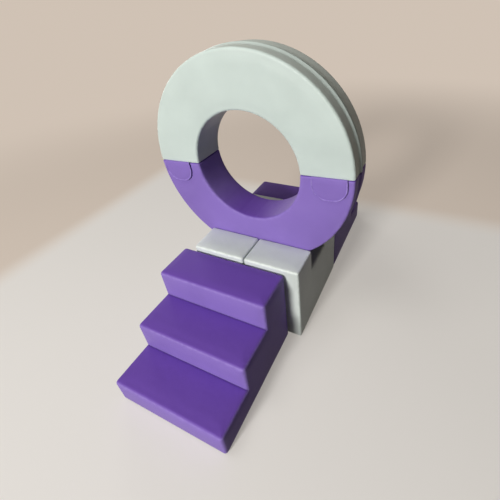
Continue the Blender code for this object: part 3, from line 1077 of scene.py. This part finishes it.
def make_zip(body, node, slot, track, outline, floor):
    """The tapes of a zip in its opening, and two rows of teeth on them."""
    thread = bpy.context.scene.climber_thread
    tape = make_piece(body + "_zip_tape", *track.swept(outline), finish_for(slot))
    carry(tape, body)
    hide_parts(node)
    runs = []
    for side in (-1, 1):
        line = track.beside(side * TOOTH_ROW_OFFSET, floor + thread.tooth_height / 2)
        way = line[1] - line[0]
        line = line + way / np.linalg.norm(way) * thread.tooth_pitch * TOOTH_ROW_SHIFT * side
        runs.append((line, track.outwards))
    sizes = (thread.tooth_pitch, thread.tooth_pitch * TOOTH_SHARE, thread.tooth_length, thread.tooth_height)
    tree = row_tree("tooth_row", "GeometryNodeMeshCube", {"Size": (1, 1, 1)})
    lay_row(body + "_zip_teeth", body, slot, runs, tree, sizes)


def make_cover(body, slot, form, swell, shown, seed):
    """The cover of a module with its stitches."""
    cover = Cover(body + "_leather", form, finish_for(slot), swell, seed)
    carry_padded(cover.made, body, body + "_cover")
    stitches(body + "_stitching", body, slot, seam_runs(cover, shown))
    return cover


def make_core(body, form):
    """The foam core of a module."""
    step = bpy.context.scene.climber_padding.core_step
    sharp, quads = form.skin(step, form.radius * CORE_GROOVE_SHARE)
    made = make_piece(body + "_foam", form.shaped(sharp), quads, finish_for("foam"))
    carry_padded(made, body, body + "_core")


def set_upright(points):
    """An outline drawn in Y and Z, stretched along X."""
    return points[:, [2, 0, 1]]


def place_module(low, high):
    """Sets a module upright, with the corners of its sole's opening rounded."""
    margin = PANEL_MARGIN + PANEL_CORNER

    def place(points):
        points = points.copy()
        under = points[:, 1] < TOUCH
        flat = points[under][:, [0, 2]]
        for along, end in ((-1, low.y), (1, high.y)):
            for aside, edge in ((-1, low.x), (1, high.x)):
                spot = np.array([end - along * margin, edge - aside * margin])
                near = ((flat - spot) * (along, aside) > 0).all(axis=1)
                flat[near] = round_corners(flat[near], spot, PANEL_CORNER, PANEL_MARGIN * PANEL_EASING)
        points[np.flatnonzero(under)[:, None], [0, 2]] = flat
        return set_upright(points)

    return place


def module_form(outline, low, high, radius, zip_face, zip_height):
    """A floor-standing module with its openings for the sole and the zip, as boxes in Y, Z and X."""
    half = ZIP_WIDTH / 2
    below, above = SOLE_OPENING_HEIGHTS
    sole = (
        (low.y + PANEL_MARGIN, below, low.x + PANEL_MARGIN),
        (high.y - PANEL_MARGIN, above, high.x - PANEL_MARGIN),
    )
    zip_box = (
        (zip_face - ZIP_OPENING_REACH, zip_height - half, low.x + ZIP_SIDE_MARGIN),
        (zip_face + ZIP_OPENING_REACH, zip_height + half, high.x - ZIP_SIDE_MARGIN),
    )
    along, _, aside = (
        (first, first + PANEL_CORNER, last - PANEL_CORNER, last) for first, last in zip(*sole)
    )
    marks = (along, (zip_height - half, zip_height + half), (*aside, zip_box[0][2], zip_box[1][2]))
    return Form(outline, (low.x, high.x), radius, place_module(low, high), marks, (sole, zip_box))


def make_module(body, slot, outline, radius, zip_face, zip_height, swell, shown, seed):
    """The cover, the stitches, the core and the zip of a module that stands on the floor."""
    low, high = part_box(body + "_cover")
    form = module_form(outline, low, high, radius, zip_face, zip_height)
    make_cover(body, slot, form, swell, shown, seed)
    ends = (form.ends[0] + CORE_INSET, form.ends[1] - CORE_INSET)
    make_core(body, Form(inset(form.outline, CORE_INSET), ends, form.radius - CORE_INSET, set_upright))
    track = module_track(low, high, zip_face, zip_height)
    make_zip(body, body + "_zip", slot, track, TAPE_OUTLINE, TAPE_FLOOR)


def steps_outline(low, high, climb):
    """Side view of the steps, anticlockwise in Y and Z; climb is 1 where they rise towards +Y."""
    back, foot = (high.y, low.y) if climb > 0 else (low.y, high.y)
    points = [(foot, 0), (back, 0), (back, high.z)]
    for step in range(1, STEP_COUNT + 1):
        height = high.z - (step - 1) * STEP_RISE
        points.append((back - climb * step * STEP_TREAD, height))
        if step < STEP_COUNT:
            points.append((back - climb * step * STEP_TREAD, height - STEP_RISE))
    return points if climb > 0 else points[::-1]


class CLIMBER_OT_steps(bpy.types.Operator):
    """Makes the covers, cores and zips of both flights of steps"""

    bl_idname = "climber.steps"
    bl_label = "Steps"

    def execute(self, context):
        edge = context.scene.climber_padding.steps_edge
        for seed, (body, climb) in enumerate((("front_steps", 1), ("rear_steps", -1)), STEPS_SEED):
            low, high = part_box(body + "_cover")
            back = high.y if climb > 0 else low.y

            def swell(points, outwards, climb=climb):
                still = (outwards[:, 2] < -FACING) | (outwards[:, 1] * climb > FACING)
                return np.where(still, 0.0, 1.0)

            def shown(spot, outwards, climb=climb):
                return outwards.z > -LEANING and outwards.y * climb < LEANING

            outline = steps_outline(low, high, climb)
            make_module(body, "purple", outline, edge, back, STEPS_ZIP_HEIGHT, swell, shown, seed)
        return {"FINISHED"}


def block_outline(low, high):
    """Side view of a base block with its slot."""
    return [
        (low.y, 0), (high.y, 0), (high.y, high.z), (SLOT_REAR, high.z),
        (SLOT_REAR, SLOT_FLOOR), (SLOT_FRONT, SLOT_FLOOR), (SLOT_FRONT, high.z), (low.y, high.z),
    ]


class CLIMBER_OT_base(bpy.types.Operator):
    """Makes the covers, cores and zips of both base blocks"""

    bl_idname = "climber.base"
    bl_label = "Base blocks"

    def execute(self, context):
        edge = context.scene.climber_padding.block_edge
        for seed, (body, side) in enumerate((("left_base", -1), ("right_base", 1)), BLOCK_SEED):
            low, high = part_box(body + "_cover")

            def swell(points, outwards, side=side, depth=high.z - BLOCK_TOP_DEPTH):
                top = outwards[:, 2] > FACING
                outer = outwards[:, 0] * side > FACING
                slot = (points[:, 2] < depth) & ~outer
                return np.where((top | outer) & ~slot, 1.0, 0.0)

            def shown(spot, outwards):
                in_slot = SLOT_FRONT - SLOT_STITCH_MARGIN < spot.y < SLOT_REAR + SLOT_STITCH_MARGIN
                return outwards.z > LEANING and not in_slot

            outline = block_outline(low, high)
            make_module(body, "pale_grey", outline, edge, high.y, BLOCK_ZIP_HEIGHT, swell, shown, seed)
        return {"FINISHED"}


def ring_place(side, gap, edge):
    """Bends a strip along the ring: across is the way from one flat end to the other, up is the radius.

    The edges round the flat ends are tighter than the others, so that the split stays a fine line."""
    quarter = math.pi / 2 * (RING_OUTER + RING_HOLE) / 2
    from_end = (0, edge, ZIP_END_MARGIN, quarter)
    tightened = (0, edge * SPLIT_EDGE_SHARE, ZIP_END_MARGIN, quarter)

    def place(points):
        along, radius, deep = points.T
        way = np.interp(np.minimum(along, 2 * quarter - along), from_end, tightened)
        straight = np.arcsin(np.clip(np.minimum(way, SQUARE_REACH) / radius, -1, 1))
        rest = np.maximum(way - SQUARE_REACH, 0) / (quarter - SQUARE_REACH)
        angle = straight + rest * (math.pi / 2 - straight)
        across = radius * np.cos(angle) * np.where(along > quarter, -1, 1)
        up = side * np.maximum(radius * np.sin(angle), gap)
        return moved_by(RING_PLACE, np.column_stack([across, deep, up]))

    return place, 2 * quarter


def ring_form(side, edge, shrink):
    """One half of the ring; at its full size it has the slot along its rim for the zip."""
    place, length = ring_place(side, RING_END_GAP + shrink, edge - shrink)
    inner, outer = RING_HOLE + shrink, RING_OUTER - shrink
    half = RING_THICKNESS / 2 - shrink
    outline = [(0, inner), (length, inner), (length, outer), (0, outer)]
    if shrink:
        return Form(outline, (-half, half), edge - shrink, place)
    slot = ZIP_WIDTH / 2
    first, last = ZIP_END_MARGIN, length - ZIP_END_MARGIN
    opening = ((first, outer - RIM_OPENING_REACH, -slot), (last, outer + RIM_OPENING_REACH, slot))
    return Form(outline, (-half, half), edge, place, ((first, last), (), (-slot, slot)), (opening,))


def make_welt(body, slot, side, surface):
    """The two rolled lips of leather beside a rim zip, low where the ring stands in its slot."""
    track = rim_track(side, WELT_END_MARGIN)
    deep = rising(-(track.points - np.array(RING_PLACE.translation))[:, 2:], *WELT_FALL)
    lift = 1 - (1 - LOWEST_WELT) * deep * deep * (3 - 2 * deep)
    points, faces = joined(track.swept(FRONT_WELT, lift), track.swept(REAR_WELT, lift))
    carry(make_piece(body + "_welt", points, faces, finish_for(slot)), body)
    runs = [laid_on(surface, track.beside(across, 0)) for across in WELT_STITCH_LINES]
    stitches(body + "_welt_stitching", body, slot, runs)


class CLIMBER_OT_ring(bpy.types.Operator):
    """Makes the covers, cores, zips and welts of the lower ring half and the arch"""

    bl_idname = "climber.ring"
    bl_label = "Ring"

    def execute(self, context):
        edge = context.scene.climber_padding.ring_edge
        squared = RING_PLACE.inverted()
        slot_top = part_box("right_base_cover")[1].z + SLOT_CLEARANCE
        halves = (("lower_ring", -1, "purple"), ("upper_arch", 1, "mint"))
        for seed, (body, side, slot) in enumerate(halves, RING_SEED):

            def swell(points, outwards, side=side):
                from_split = np.abs(moved_by(squared, points)[:, 2])
                facing = outwards @ np.array(squared.to_3x3()).T
                on_wrap = np.abs(facing[:, 1]) < FACING
                at_split = (facing[:, 2] * side < -SPLIT_FACING) & (from_split < SPLIT_REACH)
                share = rising(from_split, *SIDE_SWELL)
                share = np.where(on_wrap, WRAP_SHARE * rising(from_split, *WRAP_SWELL), share)
                share = np.where(at_split, 0, share)
                return np.where(points[:, 2] < slot_top, SLOT_SHARE * share, share)

            def shown(spot, outwards):
                return abs((squared @ spot).z) > SPLIT_STITCH_MARGIN

            cover = make_cover(body, slot, ring_form(side, edge, 0), swell, shown, seed)
            make_core(body, ring_form(side, edge, CORE_INSET))
            track = rim_track(side, ZIP_END_MARGIN)
            make_zip(body, body + "_rim_zip", slot, track, RIM_TAPE_OUTLINE, RIM_TAPE_FLOOR)
            make_welt(body, slot, side, cover.surface)
        return {"FINISHED"}


def flap_place(face, side):
    """Hangs a flap from its hinge: a short root runs out of the seam and bends down into the plate."""
    across, deep, up = FLAP_HINGE
    turn = Matrix.Rotation(math.pi if face > 0 else 0, 4, "Z")
    hinge = RING_PLACE @ Matrix.Translation((side * across, face * deep, up)) @ turn
    bend = FLAP_ROOT_DROP
    flat = FLAP_ROOT_REACH + FLAP_THICKNESS / 2 - bend
    arc = bend * math.pi / 2

    def place(points):
        aside, down, deep = points[:, 0], -points[:, 1], points[:, 2]
        on_arc = np.clip((down - flat) / arc, 0, 1) * math.pi / 2
        after = np.maximum(down - flat - arc, 0)
        back = FLAP_ROOT_REACH - np.minimum(down, flat) - bend * np.sin(on_arc)
        fall = -bend * (1 - np.cos(on_arc)) - after
        outwards = np.column_stack([-np.sin(on_arc), np.cos(on_arc)])
        low = fall - bend * FLAP_ROOT_SINK + deep * outwards[:, 1]
        return moved_by(hinge, np.column_stack([aside, back + deep * outwards[:, 0], low]))

    return place, flat + arc + FLAP_LENGTH - FLAP_ROOT_DROP * (1 + FLAP_ROOT_SINK)


def flap_line(border, length, top):
    """Points down one side of a flap, round its lower corners and up the other, a border inside its edge."""
    half = FLAP_WIDTH / 2
    radius = FLAP_CORNER - border
    points = [(border - half, -top)]
    for side, first in ((-1, math.pi), (1, math.pi * 3 / 2)):
        middle = np.array([side * (half - FLAP_CORNER), FLAP_CORNER - length])
        for turn in np.linspace(first, first + math.pi / 2, CORNER_STATIONS):
            points.append(middle + radius * np.array([math.cos(turn), math.sin(turn)]))
    points.append((half - border, -top))
    points = np.array(points)
    steps = np.linalg.norm(np.diff(points, axis=0), axis=1)
    way = np.concatenate([[0], np.cumsum(steps)])
    even = np.linspace(0, way[-1], int(way[-1] / LINE_STEP))
    return np.column_stack([np.interp(even, way, points[:, 0]), np.interp(even, way, points[:, 1])])


def raised_line(to_line, down, height, width, top):
    """How high a soft line stands beside its middle, from some way below the hinge on."""
    return height * np.exp(-((to_line / width) ** 2)) * (down > top)


def make_piping(name, place, length):
    """The piping round the free edge of a flap, thinner towards its root."""
    line = flap_line(PIPING_INSET, length, PIPING_TOP)
    middle, ahead = (place(np.column_stack([line, np.full(len(line), level)])) for level in PIPING_LEVELS)
    front = ahead - middle
    front /= np.linalg.norm(front, axis=1)[:, None]
    across = np.cross(np.gradient(middle, axis=0), front)
    across /= np.linalg.norm(across, axis=1)[:, None]
    turns = np.arange(PIPING_SIDES) * 2 * math.pi / PIPING_SIDES
    outline = bpy.context.scene.climber_thread.piping * np.column_stack([np.cos(turns), np.sin(turns)])
    stations = np.arange(len(line))
    from_root = np.minimum(stations, stations[::-1]) * LINE_STEP
    taper = 1 - PIPING_TAPER * smooth_mask(from_root, PIPING_RUN)
    points, faces = Track(middle, front, across).swept(outline, size=taper[:, None])
    piping = make_piece(name + "_piping", points, faces, finish_for("purple"))
    # Pales the piping: partly wear, partly a painted highlight
    set_mask(piping.data, "edge", np.full(len(points), PIPING_WEAR_AND_HIGHLIGHT))
    carry(piping, name)


def make_flap(name, face, side):
    """One padded flap with a stitched border."""
    bend_place, length = flap_place(face, side)
    half = FLAP_WIDTH / 2
    thick = FLAP_THICKNESS / 2
    border = FLAP_BORDER

    def place(points):
        points = points.copy()
        for end in (-1, 1):
            spot = np.array([end * (half - FLAP_CORNER), FLAP_CORNER - length])
            beyond = ((points[:, :2] - spot) * (end, -1) > 0).all(axis=1)
            points[beyond, :2] = round_corners(points[beyond, :2], spot, FLAP_CORNER, FLAP_CORNER)
        return bend_place(points)

    outline = [(-half, -length), (half, -length), (half, 0), (-half, 0)]
    marks = ((-half + border, half - border), (border - length,), ())
    form = Form(outline, (-thick, thick), thick * FLAP_EDGE_SHARE, place, marks)
    sharp, quads = form.skin(FLAP_STEP, FLAP_GROOVE)
    shaped = form.shaped(sharp)
    made = make_piece(name + "_leather", shaped, quads, finish_for("purple"))
    mesh = made.data
    down = -sharp[:, 1]
    to_border = np.minimum(half - np.abs(sharp[:, 0]), sharp[:, 1] + length)
    inside = rising(to_border, border, FLAP_CROWN_RUN) * rising(down, FLAP_BORDER_TOP, FLAP_CROWN_RUN)
    rise = FLAP_CROWN * np.sin(inside * math.pi / 2)
    rise = rise - raised_line(to_border - border, down, *SEWN_LINE)
    rise = rise + raised_line(to_border - ROLLED_LINE_INSET, down, *ROLLED_LINE)
    on_front = sharp[:, 2] > thick - TOUCH
    set_coordinates(mesh, shaped + directions(mesh) * (rise * on_front)[:, None])
    set_mask(mesh, "seam", smooth_mask(np.abs(to_border - border), FLAP_SEAM_REACH))
    # Pales the flap's border: partly wear, partly a painted highlight
    set_mask(mesh, "edge", smooth_mask(to_border, FLAP_EDGE_REACH))
    carry_padded(made, name, name)

    line = flap_line(border, length, FLAP_BORDER_TOP)
    line = bend_place(np.column_stack([line, np.full(len(line), thick)]))
    stitches(name + "_stitching", name, "purple", [laid_on(surface_of(mesh), line)])
    make_piping(name, bend_place, length)


class CLIMBER_OT_flaps(bpy.types.Operator):
    """Makes the four padded flaps that close the arch on the lower half"""

    bl_idname = "climber.flaps"
    bl_label = "Flaps"

    def execute(self, context):
        for face_word, face in (("front", -1), ("rear", 1)):
            for side_word, side in (("left", -1), ("right", 1)):
                make_flap(f"{face_word}_{side_word}_flap", face, side)
        return {"FINISHED"}


class CLIMBER_OT_fasteners(bpy.types.Operator):
    """Dresses the sliders, soles and touch-fastener tapes"""

    bl_idname = "climber.fasteners"
    bl_label = "Sliders, soles and tapes"

    def execute(self, context):
        for name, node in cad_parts.items():
            if node.hide_render:
                continue
            slot = "fastener"
            if name.endswith("_base_panel"):
                slot = "non_slip"
            elif name.endswith("_slider"):
                slot = "slider"
            for place in node.material_slots:
                place.material = finish_for(slot)
        return {"FINISHED"}


def seen(finish):
    """1 where the eye or a reflection looks, 0 for the light that spreads from a surface."""
    path = finish.node("ShaderNodeLightPath").outputs
    rays = [Value(finish, path[name]) for name in ("Is Camera Ray", "Is Glossy Ray", "Is Transmission Ray")]
    return (rays[0] + rays[1] + rays[2]).least(1.0)


def make_floor(studio):
    """A pale floor that runs into the backdrop's colour far away, and keeps the climber's shadow."""
    finish = Finish("pale_floor")
    near, far = tuple(studio.floor), tuple(studio.backdrop)
    away = finish.node("ShaderNodeVectorMath", {"operation": "LENGTH"}, {0: finish.place}).outputs["Value"]
    x, y, _ = finish.axes()
    far_off = Value(finish, away).ease(*FLOOR_FADE)
    beyond = (FLOOR_LEFT - x).most(y - FLOOR_BACK)
    behind = beyond.ease(0.0, FLOOR_EDGE).most(far_off)
    eye = seen(finish)
    plain = finish.mix(finish.noise(*FLOOR_CLOUD), shade(near, 0.99), shade(near, 1.01))
    plain = finish.mix(behind, plain, shade(far, BACKDROP_LIFT))
    lit = finish.mix(eye, shade(near, studio.bounce), plain)
    diffuse = finish.node("ShaderNodeBsdfDiffuse", {}, {"Color": lit})
    pale = finish.mix(behind, GLOW_COLOUR, (*far, 1.0))
    glow = finish.node("ShaderNodeEmission", {}, {"Color": pale, "Strength": 1.0})
    soft = studio.glow + behind * BACKDROP_GLOW
    share = eye * (far_off * (1 - soft) + soft)
    blend = finish.node("ShaderNodeMixShader", {}, {0: share, 1: diffuse.outputs[0], 2: glow.outputs[0]})
    feed(finish.tree, finish.tree.nodes["Material Output"].inputs["Surface"], blend.outputs[0])

    mesh = bpy.data.meshes.new("floor")
    spread = ((-1, -1), (1, -1), (1, 1), (-1, 1))
    corners = [(x * FLOOR_REACH, y * FLOOR_REACH, FLOOR_LEVEL) for x, y in spread]
    mesh.from_pydata(corners, [], [(0, 1, 2, 3)])
    mesh.materials.append(finish.material)
    link_object("floor", mesh)


def make_sky(studio):
    """Faint even light from all round, in front of the backdrop's colour."""
    world = bpy.data.worlds.new("studio")
    world.use_nodes = True
    bpy.context.scene.world = world
    sky = Finish.of_world(world)
    even = world.node_tree.nodes["Background"]
    even.inputs["Color"].default_value = SKY_COLOUR
    even.inputs["Strength"].default_value = studio.sky
    wall = sky.node("ShaderNodeBackground", {}, {"Color": (*studio.backdrop, 1.0), "Strength": 1.0})
    blend = sky.node("ShaderNodeMixShader", {}, {0: seen(sky), 1: even.outputs[0], 2: wall.outputs[0]})
    feed(world.node_tree, world.node_tree.nodes["World Output"].inputs["Surface"], blend.outputs[0])


def aim_lamp(name, place, target, power, size, colour):
    """A square lamp that points at a target."""
    lamp = bpy.data.lights.new(name, "AREA")
    lamp.energy = power
    lamp.size = size
    lamp.color = colour
    made = link_object(name, lamp)
    made.location = place
    made.rotation_euler = (Vector(target) - Vector(place)).to_track_quat("-Z", "Y").to_euler()


def make_camera():
    """The camera, at the place, turn and framing of the view from the front right."""
    camera = link_object("camera", bpy.data.cameras.new("camera"))
    camera.data.sensor_width = SENSOR
    camera.data.lens = CAMERA_FOCAL / PICTURE * SENSOR
    camera.data.shift_x = (PICTURE / 2 - CAMERA_CENTRE[0]) / PICTURE
    camera.data.shift_y = (CAMERA_CENTRE[1] - PICTURE / 2) / PICTURE
    camera.data.clip_start, camera.data.clip_end = CAMERA_RANGE
    right, down, ahead = Matrix.Rotation(Vector(CAMERA_TURN).length, 3, Vector(CAMERA_TURN).normalized())
    columns = Matrix((right, -down, -ahead)).transposed()
    camera.matrix_world = Matrix.Translation(CAMERA_PLACE) @ columns.to_4x4()
    return camera


class CLIMBER_OT_studio(bpy.types.Operator):
    """Sets the floor, the lamps and the camera"""

    bl_idname = "climber.studio"
    bl_label = "Studio"

    def execute(self, context):
        studio = context.scene.climber_studio
        power = studio.key_power
        context.scene.view_settings.view_transform = "Standard"
        make_floor(studio)
        make_sky(studio)
        aim_lamp("key", KEY_PLACE, KEY_TARGET, power, studio.key_size, KEY_COLOUR)
        aim_lamp("top", TOP_PLACE, TOP_TARGET, power * studio.top_share, TOP_SIZE, TOP_COLOUR)
        aim_lamp("rear", REAR_PLACE, KEY_TARGET, power * studio.rear_share, REAR_SIZE, KEY_COLOUR)
        context.scene.camera = make_camera()
        return {"FINISHED"}


GROUPS = {
    "climber_colours": ClimberColours,
    "climber_padding": ClimberPadding,
    "climber_thread": ClimberThread,
    "climber_studio": ClimberStudio,
}
OPERATORS = (
    CLIMBER_OT_studio,
    CLIMBER_OT_steps,
    CLIMBER_OT_base,
    CLIMBER_OT_ring,
    CLIMBER_OT_flaps,
    CLIMBER_OT_fasteners,
)


class CLIMBER_PT_sidebar(bpy.types.Panel):
    """Lists what the climber is made of"""

    bl_idname = "CLIMBER_PT_sidebar"
    bl_label = "Soft play foam climber"
    bl_space_type = "VIEW_3D"
    bl_region_type = "UI"
    bl_category = "Climber"

    def draw(self, context):
        for name, kind in GROUPS.items():
            box = self.layout.box()
            for size in kind.__annotations__:
                box.prop(getattr(context.scene, name), size)
        for operator in OPERATORS:
            self.layout.operator(operator.bl_idname)


def register():
    for kind in (*GROUPS.values(), *OPERATORS, CLIMBER_PT_sidebar):
        bpy.utils.register_class(kind)
    for name, kind in GROUPS.items():
        setattr(bpy.types.Scene, name, bpy.props.PointerProperty(type=kind))


def unregister():
    for name in GROUPS:
        delattr(bpy.types.Scene, name)
    for kind in (CLIMBER_PT_sidebar, *reversed(OPERATORS), *reversed(GROUPS.values())):
        bpy.utils.unregister_class(kind)


def main():
    """Makes every piece in turn."""
    register()
    for operator in OPERATORS:
        module, name = operator.bl_idname.split(".")
        getattr(getattr(bpy.ops, module), name)()


if __name__ == "__main__":
    main()
